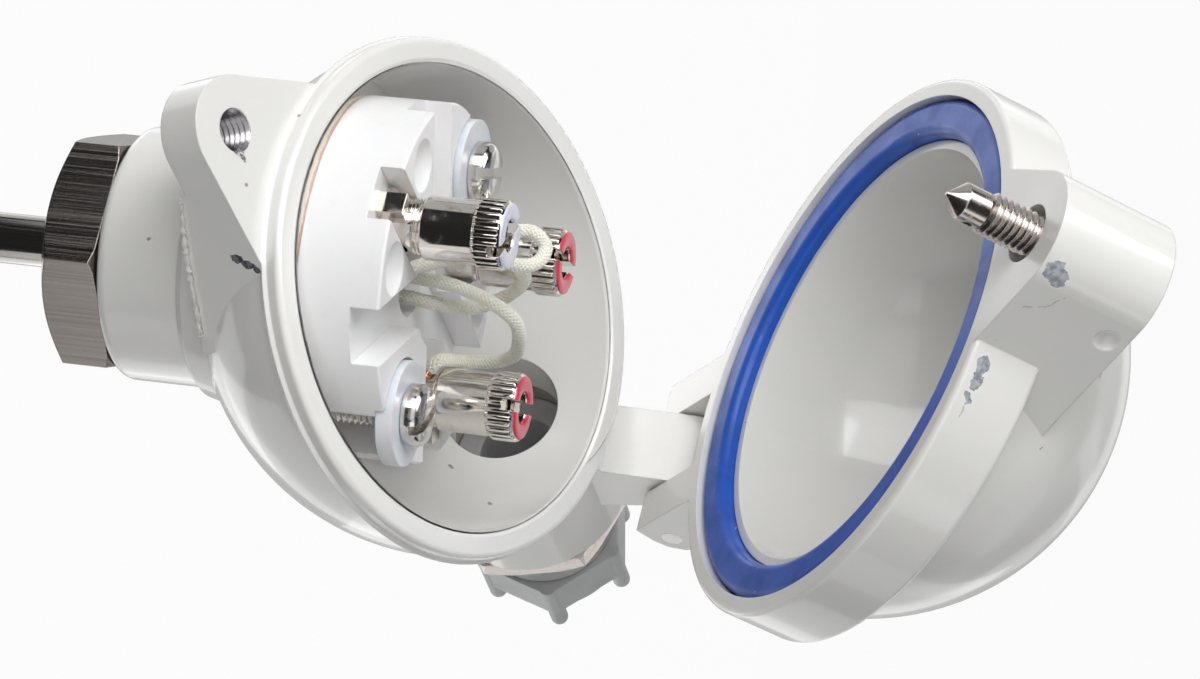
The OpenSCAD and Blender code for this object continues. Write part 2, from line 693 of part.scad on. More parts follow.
// Gland seal: the rubber bush that grips the cable.
module gland_seal() {
    color([0.15, 0.15, 0.16]) at_entry(boss_reach + reducer_height + 3)
        ring(seal_r, cable_r, collar_length + nose_length - 3);
}

// Gland nut: a hexagon with a domed front and a rounded rib at each corner.
module gland_nut() {
    rib_ring = nut_hex_r - nut_rib_r;
    length = nut_hex_length + nut_dome_length + 1.1;
    color([0.73, 0.75, 0.77]) at_entry(boss_reach + reducer_height + collar_length + 0.2) difference() {
        union() {
            rotate([0, 0, nut_turn]) cylinder(r = nut_hex_r, h = nut_hex_length, $fn = 6);
            translate([0, 0, nut_hex_length - 0.5]) rotate_extrude()
                polygon([[0, 0], [8.8, 0], [8.7, 1.2], [7.9, nut_dome_length], [nut_mouth_r, nut_dome_length + 0.9],
                         [0, nut_dome_length + 0.9]]);
            for (k = [0 : 5]) rotate([0, 0, nut_turn + 60 * k]) translate([rib_ring, 0, 0]) {
                cylinder(r = nut_rib_r, h = length - nut_rib_r, $fn = 24);
                translate([0, 0, length - nut_rib_r]) sphere(r = nut_rib_r, $fn = 24);
            }
        }
        translate([0, 0, -1]) cylinder(r = nose_r + running_gap, h = nose_length + 1.2);
        translate([0, 0, -1]) cylinder(r = nut_mouth_r, h = 20);
    }
}

head_body();
hex_fitting();
probe_stem();
sensing_element();
insulator_core();
fibre_gasket();
terminal_block();
terminal_post(0);  // terminal_post_1
terminal_post(1);  // terminal_post_2
terminal_post(2);  // terminal_post_3
terminal_sleeve(0);  // terminal_sleeve_1
terminal_sleeve(1);  // terminal_sleeve_2
terminal_sleeve(2);  // terminal_sleeve_3
mount_screw(-1);  // mount_screw_1
mount_screw(1);  // mount_screw_2
mount_washer(-1);  // mount_washer_1
mount_washer(1);  // mount_washer_2
lead_wire(lead_route_1);  // lead_wire_1
lead_wire(lead_route_2);  // lead_wire_2
lead_wire(lead_route_3);  // lead_wire_3
lid();
lid_seal();
lid_screw();
lid_screw_washer();
hinge_pin();
gland_reducer();
gland_body();
gland_seal();
gland_nut();
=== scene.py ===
"""Looks of a resistance thermometer with a small die-cast connection head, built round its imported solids."""

import json
import math
import random

import bmesh
import bpy
from mathutils import Matrix, Vector


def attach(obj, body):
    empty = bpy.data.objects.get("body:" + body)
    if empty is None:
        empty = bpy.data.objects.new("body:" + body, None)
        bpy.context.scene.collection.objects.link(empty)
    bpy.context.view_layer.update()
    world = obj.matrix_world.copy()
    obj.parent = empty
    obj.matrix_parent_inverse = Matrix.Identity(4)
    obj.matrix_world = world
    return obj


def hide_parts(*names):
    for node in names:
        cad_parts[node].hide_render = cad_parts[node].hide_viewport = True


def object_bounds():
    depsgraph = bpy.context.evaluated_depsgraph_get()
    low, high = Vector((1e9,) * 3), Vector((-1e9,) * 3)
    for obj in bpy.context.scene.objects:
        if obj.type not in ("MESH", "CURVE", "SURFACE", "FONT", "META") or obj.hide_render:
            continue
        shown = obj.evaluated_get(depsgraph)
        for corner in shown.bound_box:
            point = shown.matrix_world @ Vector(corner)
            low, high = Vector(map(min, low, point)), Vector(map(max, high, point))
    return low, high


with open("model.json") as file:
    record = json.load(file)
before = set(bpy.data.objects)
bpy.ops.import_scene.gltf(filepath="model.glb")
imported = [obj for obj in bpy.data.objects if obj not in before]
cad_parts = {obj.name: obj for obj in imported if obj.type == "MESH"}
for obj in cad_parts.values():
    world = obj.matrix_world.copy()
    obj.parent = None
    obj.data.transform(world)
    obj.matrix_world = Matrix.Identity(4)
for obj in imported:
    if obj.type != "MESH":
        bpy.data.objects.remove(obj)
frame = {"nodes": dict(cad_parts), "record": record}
cad_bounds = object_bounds()
cad = frame["nodes"]
scene = bpy.context.scene

MM = 0.001
FRONT = Vector((-0.84810565, -0.45800387, 0.26636303))
SIDE = Vector((0.18169494, 0.2208335, 0.95823771))
ABOVE = Vector((-0.49769846, 0.86108363, -0.10407315))
CAMERA_PLACE = Vector((-0.444467, -0.244993, 0.204278))
LIT_PLACE, LAMP_DISTANCE = Vector((0.02, 0, 0.06)), 0.8
WORLD_LIGHT, FLOOR_GLOW = 0.02, 0.96

# Places of the head's pieces, in millimetres.
RIM_X, RIM_HEIGHT, RIM_TILT = 2.45, 46.15, 27
HINGE_REACH, HINGE_RISE, LID_OPEN = 42.2, 2.5, 67
SCREW_REACH = 37.8
LIP_HEIGHT = 2.2
FLOOR_HEIGHT, BLOCK_BOTTOM, BLOCK_TOP = 32.5, 34.0, 44.0
TERMINAL_CIRCLE = 13.6
TERMINAL_ANGLES = (181.7, -48, 46)
SLEEVE_BOTTOMS = (45.9, 45.1, 45.6)
SLEEVE_SLOT_ANGLES = (60, 25, 15)
SCREW_YS = (-17.2, 15.5)
SCREW_SLOT_ANGLES = (61, 34)
WASHER_TOP = 44.8
POST_RADIUS, POST_PITCH = 3.12, 0.45
MOUNT_SCREW_RADIUS, MOUNT_SCREW_PITCH = 2.0, 0.7
LID_SCREW_RADIUS, LID_SCREW_PITCH = 2.5, 0.8
BRAID_FOOT = 36

LEAD_ROUTES = (
    ((-1.13, -0.65, 10.1), (-1.5, -0.6, 22), (-1.6, -0.4, 35), (-2.6, -0.1, 40.4), (-2.2, 0.9, 42), (-1.9, 1.9, 44),
     (-3, 3.4, 48), (-3.8, 5.4, 52), (-3.4, 6.2, 54.6), (-2, 5.2, 56.2), (-2.4, 2.8, 55.8), (-4.2, 1.2, 54.3),
     (-6.6, 0.5, 51.5), (-7.9, 0.1, 48), (-8.3, 0, 45), (-9.2, 0, 43.6), (-10.2, 0, 43.4)),
    ((0, 1.3, 10.1), (0.3, 1.6, 22), (0.2, 1.4, 35), (0.2, 0.8, 39.6), (0.8, 0.9, 42), (1.3, 0.8, 45), (2, 0.3, 48),
     (2.6, -0.5, 50.5), (4.4, -1, 52.3), (6.7, -1.3, 52.7), (9.1, -1.6, 52.3), (11.6, -1.9, 51.4), (13.1, -2.1, 49.4),
     (12, -3.2, 47), (9.2, -4.9, 45.7), (6.6, -6.3, 45), (5.5, -7.2, 44.4), (6.1, -8, 43.7)),
    ((1.13, -0.65, 10.1), (1.5, -0.9, 22), (1.7, -0.9, 35), (2.4, -0.8, 39.4), (3.2, -0.8, 42.4), (5, -0.1, 45),
     (6, 0.8, 47.2), (5.6, 1.9, 49.9), (4.6, 3.1, 52), (2.6, 3.5, 53.1), (0.2, 3.4, 52.9), (-0.9, 3.5, 51.3),
     (-0.2, 4.4, 49), (1.5, 5.4, 46.8), (4.4, 6.2, 44.7), (6.3, 6.4, 43.8), (7.2, 7, 43.5)),
)


# Camera, floor and lights.

def look(position, towards, up):
    """Matrix of a camera or lamp at a position, looking along a direction."""
    back = -towards.normalized()
    right = up.cross(back).normalized()
    over = back.cross(right)
    turn = Matrix((right, over, back)).transposed()
    return Matrix.Translation(position) @ turn.to_4x4()


def make_camera():
    data = bpy.data.cameras.new("camera")
    data.sensor_width = 36
    data.lens = 138
    data.clip_start, data.clip_end = 0.01, 20
    camera = bpy.data.objects.new("camera", data)
    scene.collection.objects.link(camera)
    camera.matrix_world = look(CAMERA_PLACE, -FRONT, ABOVE)
    scene.camera = camera


def make_softbox(name, direction, power, width=0.6, height=0.6):
    """Area lamp that looks at the head from a direction."""
    data = bpy.data.lights.new(name, "AREA")
    data.shape = "RECTANGLE"
    data.size, data.size_y = width, height
    data.energy = power
    lamp = bpy.data.objects.new(name, data)
    lamp.visible_camera = False
    scene.collection.objects.link(lamp)
    direction = direction.normalized()
    up = Vector((0, 0, 1)) if abs(direction.z) < 0.9 else Vector((1, 0, 0))
    lamp.matrix_world = look(LIT_PLACE + direction * LAMP_DISTANCE, -direction, up)


# Name, direction and power of each lamp, and its width and height where they aren't the usual ones.
LAMPS = (
    ("lamp_key", ABOVE + FRONT + SIDE, 4.4),
    ("lamp_window", ABOVE + 1.2 * FRONT, 3.2, 0.5, 0.65),
    ("lamp_front", FRONT, 0.9),
    ("lamp_above", ABOVE, 0.5),
    ("lamp_above_back", ABOVE - FRONT, 0.7),
    ("lamp_above_back_right", ABOVE - FRONT + SIDE, 0.5),
    ("lamp_above_back_left", ABOVE - FRONT - SIDE, 1.3),
    ("lamp_below", 0.15 * FRONT - ABOVE - 0.3 * SIDE, 0.85),
    ("lamp_below_right", SIDE - ABOVE, 0.4),
    ("lamp_below_front", FRONT - ABOVE, 1.35),
    ("lamp_below_back", -ABOVE - FRONT, 0.9),
    ("lamp_below_back_left", -ABOVE - FRONT - SIDE, 1.1),
    ("lamp_below_back_right", SIDE - ABOVE - FRONT, 0.4),
    ("lamp_left_back", -FRONT - SIDE, 1.1),
    ("lamp_right_back", SIDE - FRONT, 0.5),
    ("lamp_backdrop", -FRONT, 2.6, 1.3, 1.3),
)


def make_studio():
    for lamp in LAMPS:
        make_softbox(*lamp)
    world = bpy.data.worlds.new("studio")
    world.use_nodes = True
    background = world.node_tree.nodes["Background"]
    background.inputs["Color"].default_value = (1, 1, 1, 1)
    background.inputs["Strength"].default_value = WORLD_LIGHT
    scene.world = world
    scene.view_settings.view_transform = "Standard"


def make_floor():
    """Pale floor that is seen, but that the lamps shine past, as round a piece held up on a glass table."""
    floor_mesh = bpy.data.meshes.new("floor")
    half, level = 3.0, cad_bounds[0][2] - 0.0005
    floor_mesh.from_pydata([(-half, -half, level), (half, -half, level), (half, half, level), (-half, half, level)],
                           [], [(0, 1, 2, 3)])
    floor = add_object("floor", floor_mesh)
    pale = Finish("pale_floor", (0.35, 0.35, 0.35), 0.7)
    glow = pale.add("ShaderNodeEmission", Color=(1, 1, 1, 1), Strength=1.0)
    path = pale.add("ShaderNodeLightPath")
    both = pale.add("ShaderNodeMixShader", Fac=pale.math("MULTIPLY", path.outputs["Is Camera Ray"], FLOOR_GLOW))
    pale.put(pale.shader.outputs["BSDF"], both.inputs[1])
    pale.put(glow.outputs["Emission"], both.inputs[2])
    pale.put(both.outputs["Shader"], pale.output.inputs["Surface"])
    floor_mesh.materials.append(pale.material)
    floor.visible_diffuse = floor.visible_glossy = floor.visible_transmission = floor.visible_shadow = False


# Shared effects, as shader node groups.

SOCKETS = {float: "NodeSocketFloat", int: "NodeSocketInt", tuple: "NodeSocketVector"}


class Effect:
    """Builds a shader node group with named inputs, whose values here are the usual ones, and named outputs."""

    def __init__(self, name, outputs, **inputs):
        self.tree = bpy.data.node_groups.new(name, "ShaderNodeTree")
        self.open_inputs(inputs)
        for label in outputs:
            self.tree.interface.new_socket(label, in_out="OUTPUT", socket_type=SOCKETS[float])
        self.start = self.tree.nodes.new("NodeGroupInput").outputs
        self.end = self.tree.nodes.new("NodeGroupOutput").inputs

    def open_inputs(self, inputs):
        for key, value in inputs.items():
            socket = self.tree.interface.new_socket(key.replace("_", " "), in_out="INPUT",
                                                    socket_type=SOCKETS[type(value)])
            socket.default_value = value

    def add(self, kind, **values):
        """Adds a node; each value goes to its attribute or to its input socket."""
        node = self.tree.nodes.new(kind)
        for key, value in values.items():
            if hasattr(node, key):
                setattr(node, key, value)
            else:
                self.put(value, node.inputs[key.replace("_", " ")])
        return node

    def put(self, value, socket):
        if isinstance(value, bpy.types.NodeSocket):
            self.tree.links.new(value, socket)
        else:
            socket.default_value = value

    def math(self, operation, *values):
        node = self.add("ShaderNodeMath", operation=operation)
        for socket, value in zip(node.inputs, values):
            self.put(value, socket)
        return node.outputs[0]

    def product(self, *values):
        result = values[0]
        for value in values[1:]:
            result = self.math("MULTIPLY", result, value)
        return result

    def vector(self, operation, *values):
        node = self.add("ShaderNodeVectorMath", operation=operation)
        for socket, value in zip(node.inputs, values):
            self.put(value, socket)
        return node.outputs["Value" if operation in ("LENGTH", "DISTANCE", "DOT_PRODUCT") else "Vector"]

    def scaled(self, vector, factor):
        node = self.add("ShaderNodeVectorMath", operation="SCALE", Scale=factor)
        self.put(vector, node.inputs[0])
        return node.outputs["Vector"]

    def ramp(self, value, low, high):
        """Runs smoothly from 0 at low to 1 at high."""
        return self.add("ShaderNodeMapRange", interpolation_type="SMOOTHSTEP", Value=value, From_Min=low,
                        From_Max=high).outputs["Result"]

    def blend(self, share, first, second):
        node = self.add("ShaderNodeMix", data_type="RGBA")
        for number, value in ((0, share), (6, first), (7, second)):
            self.put(value, node.inputs[number])
        return node.outputs[2]

    def noise(self, place, scale, detail=2.0, roughness=0.5, distortion=0.0):
        return self.add("ShaderNodeTexNoise", Vector=place, Scale=scale, Detail=detail, Roughness=roughness,
                        Distortion=distortion).outputs["Fac"]

    def place(self):
        return self.tree.nodes.new("ShaderNodeTexCoord").outputs["Object"]


class Finish(Effect):
    """Builds a material round one Principled shader."""

    def __init__(self, name, colour, roughness, metallic=0.0, **plain):
        self.material = bpy.data.materials.new(name)
        self.material.use_nodes = True
        self.tree = self.material.node_tree
        self.tree.nodes.clear()
        self.output = self.tree.nodes.new("ShaderNodeOutputMaterial")
        self.shader = self.tree.nodes.new("ShaderNodeBsdfPrincipled")
        self.put(self.shader.outputs["BSDF"], self.output.inputs["Surface"])
        self.set("Base Color", (*colour, 1))
        self.set("Roughness", roughness)
        self.set("Metallic", metallic)
        for key, value in plain.items():
            self.set(key.replace("_", " "), value)

    def set(self, label, value):
        self.put(value, self.shader.inputs[label])

    def effect(self, group, **values):
        node = self.tree.nodes.new("ShaderNodeGroup")
        node.node_tree = group.tree
        for key, value in values.items():
            self.put(value, node.inputs[key.replace("_", " ")])
        return node

    def bump(self, height, distance, strength, normal=None):
        node = self.add("ShaderNodeBump", Height=height, Distance=distance, Strength=strength)
        if normal is not None:
            self.put(normal, node.inputs["Normal"])
        return node.outputs["Normal"]

    def soft_edges(self, radius):
        return self.add("ShaderNodeBevel", samples=6, Radius=radius).outputs["Normal"]


def make_specks():
    """Scattered specks of random size."""
    e = Effect("specks", ("Mask",), Spacing=0.004, Size=0.0002, Share=0.3, Seed=0.0)
    moved = e.vector("ADD", e.place(), e.add("ShaderNodeCombineXYZ", X=e.start["Seed"]).outputs[0])
    cells = e.add("ShaderNodeTexVoronoi", Vector=moved, Scale=e.math("DIVIDE", 1.0, e.start["Spacing"])).outputs
    chance = e.add("ShaderNodeSeparateColor", Color=cells["Color"]).outputs
    reach = e.product(cells["Distance"], e.start["Spacing"])
    size = e.product(e.start["Size"], e.math("POWER", chance["Green"], 3.0))
    near = e.ramp(reach, size, e.product(size, 0.6))
    e.put(e.product(near, e.math("LESS_THAN", chance["Red"], e.start["Share"])), e.end["Mask"])
    return e


def make_orange_peel():
    """Height of a sprayed and baked enamel."""
    e = Effect("orange_peel", ("Height",), Size=0.0012)
    scale = e.math("DIVIDE", 1.0, e.start["Size"])
    fine = e.noise(e.place(), scale, 1.0, 0.4)
    broad = e.noise(e.place(), e.product(scale, 0.25), 1.0, 0.4)
    e.put(e.math("ADD", fine, e.product(broad, 1.5)), e.end["Height"])
    return e


def make_chip():
    """Ragged patch where the enamel has broken away."""
    e = Effect("chip", ("Mask", "Rim"), Centre=(0.0, 0.0, 0.0), Reach=(1.0, 1.0, 1.0), Ragged=0.5)
    away = e.vector("DIVIDE", e.vector("SUBTRACT", e.place(), e.start["Centre"]), e.start["Reach"])
    broad = e.math("SUBTRACT", e.noise(e.place(), 450.0, 2.0, 0.5), 0.5)
    fine = e.math("SUBTRACT", e.noise(e.place(), 1600.0, 4.0, 0.7), 0.5)
    wander = e.product(e.math("ADD", broad, e.product(fine, 0.8)), e.start["Ragged"])
    reach = e.math("ADD", e.vector("LENGTH", away), wander)
    e.put(e.ramp(reach, 1.03, 0.97), e.end["Mask"])
    e.put(e.product(e.ramp(reach, 1.35, 1.1), e.ramp(reach, 0.97, 1.03)), e.end["Rim"])
    return e


def make_scratch():
    """Line between two points that wanders and frays."""
    e = Effect("scratch", ("Mask",), Start=(0.0, 0.0, 0.0), End=(1.0, 1.0, 1.0), Width=0.0002, Wander=0.0005)
    sway = e.add("ShaderNodeTexNoise", Vector=e.place(), Scale=900.0, Detail=3.0).outputs["Color"]
    shift = e.scaled(e.vector("SUBTRACT", sway, (0.5, 0.5, 0.5)), e.start["Wander"])
    along = e.vector("SUBTRACT", e.start["End"], e.start["Start"])
    away = e.vector("SUBTRACT", e.vector("ADD", e.place(), shift), e.start["Start"])
    share = e.math("DIVIDE", e.vector("DOT_PRODUCT", away, along), e.vector("DOT_PRODUCT", along, along))
    share = e.math("MINIMUM", e.math("MAXIMUM", share, 0.0), 1.0)
    reach = e.vector("LENGTH", e.vector("SUBTRACT", away, e.scaled(along, share)))
    fray = e.product(e.start["Width"], e.math("ADD", 0.4, e.noise(e.place(), 1700.0, 3.0, 0.7)))
    e.put(e.ramp(reach, fray, e.product(fray, 0.5)), e.end["Mask"])
    return e


def make_brushing():
    """Fine straight lines left by a tool, stretched along one direction."""
    e = Effect("brushing", ("Height", "Shade"), Stretch=(1.0, 1.0, 1.0), Scale=3000.0)
    stretched = e.vector("MULTIPLY", e.place(), e.start["Stretch"])
    fine = e.noise(stretched, e.start["Scale"], 3.0, 0.7)
    broad = e.noise(stretched, e.product(e.start["Scale"], 0.3), 2.0, 0.6)
    e.put(fine, e.end["Height"])
    e.put(e.math("ADD", e.product(fine, 0.5), e.product(broad, 0.5)), e.end["Shade"])
    return e


def make_grime():
    """Soft uneven staining."""
    e = Effect("grime", ("Mask",), Size=0.01, Low=0.45, High=0.7)
    cloud = e.noise(e.place(), e.math("DIVIDE", 1.0, e.start["Size"]), 5.0, 0.6, 0.3)
    e.put(e.ramp(cloud, e.start["Low"], e.start["High"]), e.end["Mask"])
    return e


SPECKS = make_specks()
ORANGE_PEEL = make_orange_peel()
CHIP = make_chip()
SCRATCH = make_scratch()
BRUSHING = make_brushing()
GRIME = make_grime()


# Materials.

def point(*values):
    """A place in millimetres as a vector in metres."""
    return tuple(v * MM for v in values)


def strongest(m, masks):
    """Greatest of several masks."""
    result = masks[0]
    for mask in masks[1:]:
        result = m.math("MAXIMUM", result, mask)
    return result


def lines(m, routes, wander):
    """Mask of the scratches along several routes."""
    return strongest(m, [m.effect(SCRATCH, Start=point(*start), End=point(*end), Width=width * MM,
                                  Wander=wander).outputs["Mask"] for start, end, width in routes])


def enamel(name, chips, cracks, marks, bare_dark, bare_light):
    """Glossy light grey enamel over the casting, with chips, cracks and marks."""
    roughness, coat = 0.22, 0.55
    m = Finish(name, (0.84, 0.845, 0.82), roughness, Coat_Weight=coat, Coat_Roughness=0.05, Specular_IOR_Level=0.5)
    shade = m.effect(GRIME, Size=0.03, Low=0.35, High=0.75).outputs["Mask"]
    dark = m.effect(SPECKS, Spacing=0.006, Size=0.00022, Share=0.3).outputs["Mask"]
    patches = [m.effect(CHIP, Centre=point(*centre), Reach=point(*reach), Ragged=ragged).outputs
               for centre, reach, ragged in chips]
    bare = strongest(m, [patch["Mask"] for patch in patches])
    rim = strongest(m, [patch["Rim"] for patch in patches])
    crack = lines(m, cracks, 0.0012)
    mark = lines(m, marks, 0.0004)
    stain = m.noise(m.place(), 1500.0, 3.0, 0.6)
    colour = m.blend(shade, (0.815, 0.81, 0.785, 1), (0.775, 0.775, 0.75, 1))
    for mask, share, tint in ((dark, 0.75, (0.16, 0.13, 0.12, 1)), (mark, 0.8, (0.3, 0.2, 0.17, 1)),
                              (crack, 0.55, (0.35, 0.33, 0.3, 1)), (rim, 0.5, (0.93, 0.93, 0.92, 1))):
        colour = m.blend(m.product(mask, share), colour, tint)
    colour = m.blend(bare, colour, m.blend(m.ramp(stain, 0.35, 0.65), (*bare_dark, 1), (*bare_light, 1)))
    m.set("Base Color", colour)
    m.set("Metallic", m.product(bare, 0.4))
    m.set("Roughness", m.math("ADD", roughness, m.product(bare, 0.3)))
    m.set("Coat Weight", m.math("SUBTRACT", coat, m.product(bare, coat)))
    height = m.effect(ORANGE_PEEL, Size=0.0011).outputs["Height"]
    height = m.math("SUBTRACT", height, m.product(bare, 8.0))
    height = m.math("SUBTRACT", height, m.product(crack, 3.0))
    height = m.math("ADD", height, m.product(bare, stain, 6.0))
    m.set("Normal", m.bump(height, 0.00001, 0.55, m.soft_edges(0.00025)))
    return m.material


def brushed_steel(name, light, dark, stretch, roughness, scale):
    m = Finish(name, light, roughness, 1.0)
    brushing = m.effect(BRUSHING, Stretch=stretch, Scale=scale).outputs
    shade = m.ramp(brushing["Shade"], 0.35, 0.65)
    m.set("Base Color", m.blend(shade, (*dark, 1), (*light, 1)))
    m.set("Roughness", m.math("ADD", roughness - 0.08, m.product(shade, 0.16)))
    m.set("Normal", m.bump(brushing["Height"], 0.000003, 0.4, m.soft_edges(0.0002)))
    return m.material


def bright_nickel(name, colour=(0.78, 0.74, 0.69), roughness=0.09):
    m = Finish(name, colour, roughness, 1.0)
    stain = m.effect(GRIME, Size=0.0015, Low=0.5, High=0.75).outputs["Mask"]
    m.set("Base Color", m.blend(m.product(stain, 0.35), (*colour, 1), (0.5, 0.42, 0.34, 1)))
    m.set("Roughness", m.math("ADD", roughness, m.product(stain, 0.18)))
    height = m.noise(m.place(), 2500.0, 2.0, 0.5)
    m.set("Normal", m.bump(height, 0.000006, 0.3, m.soft_edges(0.00012)))
    return m.material


def glazed_block():
    m = Finish("glazed_ceramic", (0.88, 0.88, 0.885), 0.32, Coat_Weight=0.25, Coat_Roughness=0.15,
               Subsurface_Weight=0.08, Subsurface_Scale=0.001)
    shade = m.effect(GRIME, Size=0.004, Low=0.5, High=0.8).outputs["Mask"]
    colour = m.blend(m.product(shade, 0.35), (0.9, 0.9, 0.905, 1), (0.83, 0.83, 0.83, 1))
    yellow = m.effect(SPECKS, Spacing=0.005, Size=0.00035, Share=0.25, Seed=0.5).outputs["Mask"]
    colour = m.blend(m.product(yellow, 0.5), colour, (0.62, 0.48, 0.32, 1))
    edge_normal = m.soft_edges(0.00025)
    facing = m.add("ShaderNodeNewGeometry").outputs["Normal"]
    # The block's colour goes darker brown in broken patches along its edges and inner corners, where the rounded-edge
    # normal parts from the face's own normal.
    edge = m.ramp(m.vector("DOT_PRODUCT", edge_normal, facing), 0.99, 0.85)
    broken = m.noise(m.place(), 700.0, 3.0, 0.6)
    edge_darkening = m.product(edge, m.ramp(broken, 0.45, 0.7))
    colour = m.blend(m.product(edge_darkening, 0.45), colour, (0.45, 0.4, 0.36, 1))
    m.set("Base Color", colour)
    height = m.noise(m.place(), 1800.0, 3.0, 0.5)
    m.set("Normal", m.bump(height, 0.00001, 0.35, edge_normal))
    return m.material


def pressed_fibre():
    """Cream fibre whose two faces show a red-brown line."""
    m = Finish("pressed_fibre", (0.75, 0.66, 0.55), 0.85)
    wander = m.product(m.math("SUBTRACT", m.noise(m.place(), 350.0, 3.0, 0.6), 0.5), 0.0007)
    level = m.math("ADD", m.add("ShaderNodeSeparateXYZ", Vector=m.place()).outputs["Z"], wander)
    low, high = FLOOR_HEIGHT * MM, BLOCK_BOTTOM * MM
    seam = m.math("ABSOLUTE", m.math("SUBTRACT", level, low + 0.0004))
    fibre = m.noise(m.place(), 2200.0, 4.0, 0.7)
    colour = m.blend(fibre, (0.93, 0.88, 0.8, 1), (0.82, 0.75, 0.66, 1))
    colour = m.blend(m.product(m.ramp(seam, 0.00016, 0.00005), 0.8), colour, (0.36, 0.2, 0.15, 1))
    upper = m.ramp(level, high - 0.00035, high - 0.0002)
    colour = m.blend(m.product(upper, 0.7), colour, (0.66, 0.3, 0.22, 1))
    m.set("Base Color", colour)
    m.set("Normal", m.bump(fibre, 0.00008, 0.8))
    return m.material


def milky_nylon():
    m = Finish("milky_nylon", (0.84, 0.87, 0.92), 0.3, Subsurface_Weight=0.35, Subsurface_Scale=0.002,
               Transmission_Weight=0.12, IOR=1.5)
    cloud = m.effect(GRIME, Size=0.003, Low=0.4, High=0.7).outputs["Mask"]
    m.set("Base Color", m.blend(cloud, (0.85, 0.88, 0.93, 1), (0.78, 0.82, 0.88, 1)))
    m.set("Normal", m.bump(m.noise(m.place(), 1500.0, 2.0), 0.00001, 0.3, m.soft_edges(0.0003)))
    return m.material


def silicone_rubber():
    m = Finish("silicone_rubber", (0.012, 0.075, 0.56), 0.34, Specular_IOR_Level=0.45)
    shade = m.effect(GRIME, Size=0.006, Low=0.35, High=0.7).outputs["Mask"]
    colour = m.blend(shade, (0.012, 0.095, 0.52, 1), (0.01, 0.075, 0.41, 1))
    dust = m.effect(SPECKS, Spacing=0.0022, Size=0.00017, Share=0.3).outputs["Mask"]
    colour = m.blend(m.product(dust, 0.6), colour, (0.5, 0.55, 0.7, 1))
    m.set("Base Color", colour)
    m.set("Roughness", m.math("ADD", 0.3, m.product(shade, 0.15)))
    m.set("Normal", m.bump(m.noise(m.place(), 900.0, 2.0), 0.00002, 0.4))
    return m.material


def moulded_plastic():
    m = Finish("moulded_plastic", (0.5, 0.51, 0.51), 0.45)
    shade = m.effect(GRIME, Size=0.005, Low=0.4, High=0.7).outputs["Mask"]
    m.set("Base Color", m.blend(shade, (0.53, 0.54, 0.54, 1), (0.46, 0.47, 0.475, 1)))
    m.set("Normal", m.bump(m.noise(m.place(), 3500.0, 3.0), 0.00002, 0.4, m.soft_edges(0.0004)))
    return m.material


def glass_yarn(name, light, dark):
    m = Finish(name, light, 0.4, Sheen_Weight=0.3, Sheen_Roughness=0.4, Subsurface_Weight=0.1,
               Subsurface_Scale=0.0006)
    fibre = m.noise(m.place(), 5000.0, 3.0, 0.7)
    stain = m.effect(GRIME, Size=0.004, Low=0.4, High=0.75).outputs["Mask"]
    colour = m.blend(fibre, (*light, 1), (*dark, 1))
    m.set("Base Color", m.blend(m.product(stain, 0.4), colour, (0.78, 0.73, 0.6, 1)))
    m.set("Normal", m.bump(fibre, 0.00003, 0.5))
    return m.material


def enamel_dot(name, colour, deep):
    """Thick paint on the face of a terminal sleeve."""
    m = Finish(name, colour, 0.3, Coat_Weight=0.4, Coat_Roughness=0.1)
    shade = m.noise(m.place(), 1400.0, 3.0, 0.6)
    m.set("Base Color", m.blend(shade, (*colour, 1), (*deep, 1)))
    m.set("Normal", m.bump(shade, 0.00006, 0.5))
    return m.material


def plain_mineral(name, colour, dark, roughness):
    m = Finish(name, colour, roughness)
    grain = m.noise(m.place(), 2000.0, 4.0, 0.6)
    m.set("Base Color", m.blend(grain, (*colour, 1), (*dark, 1)))
    m.set("Normal", m.bump(grain, 0.00003, 0.6))
    return m.material


# Wear of the enamel, in millimetres: chips as centre, reach and raggedness, cracks and marks as start, end and width.
HEAD_CHIPS = (
    ((-21.6, -11.5, 28.2), (0.55, 0.5, 0.9), 1.6),
    ((-21.35, -11.9, 29.4), (0.5, 0.5, 0.9), 1.6),
    ((-21.1, -12.25, 30.5), (0.5, 0.5, 0.5), 1.8),
)
HEAD_CRACKS = (
    ((-21.7, -11.2, 27.2), (-20.9, -12.4, 31.2), 0.12),
)
HEAD_MARKS = (
    ((-13.8, -5.8, 13.7), (-13.7, -5.7, 13.9), 0.3),
    ((-26.9, -4.9, 28.7), (-26.8, -4.8, 28.8), 0.25),
    ((-23.3, 6.75, 31.0), (-23.2, 6.8, 31.1), 0.3),
    ((27.9, -9.2, 41.6), (27.9, -9.4, 41.9), 0.35),
    ((25.6, -14.7, 48.3), (25.5, -14.9, 48.6), 0.4),
)
LID_CHIPS = (
    ((-26.9, -5.9, 120.5), (1.5, 1.1, 1.4), 2.0),
    ((-18.3, -12.8, 112.9), (0.7, 1.3, 0.7), 2.0),
    ((-17.6, -14.6, 112.2), (0.7, 1.4, 0.6), 2.2),
    ((-17.0, -16.4, 111.6), (0.6, 1.2, 0.5), 2.4),
)
LID_CRACKS = (
    ((-23.4, -8.3, 116.9), (-23.15, -7.8, 119.05), 0.16),
    ((-23.15, -7.8, 119.05), (-24.1, -6.9, 121.15), 0.16),
    ((-16.8, -16.8, 111.5), (-15.9, -18.4, 110.9), 0.14),
    ((-18.4, -12.3, 113.1), (-19.6, -10.4, 114.0), 0.14),
)
LID_MARKS = (
    ((-4.3, -14.9, 117.9), (-2.3, -3.6, 122.6), 0.12),
    ((21.4, 20.8, 90.1), (21.3, 20.9, 90.3), 0.4),
    ((5.0, 25.0, 100.7), (5.1, 25.0, 101.0), 0.35),
)

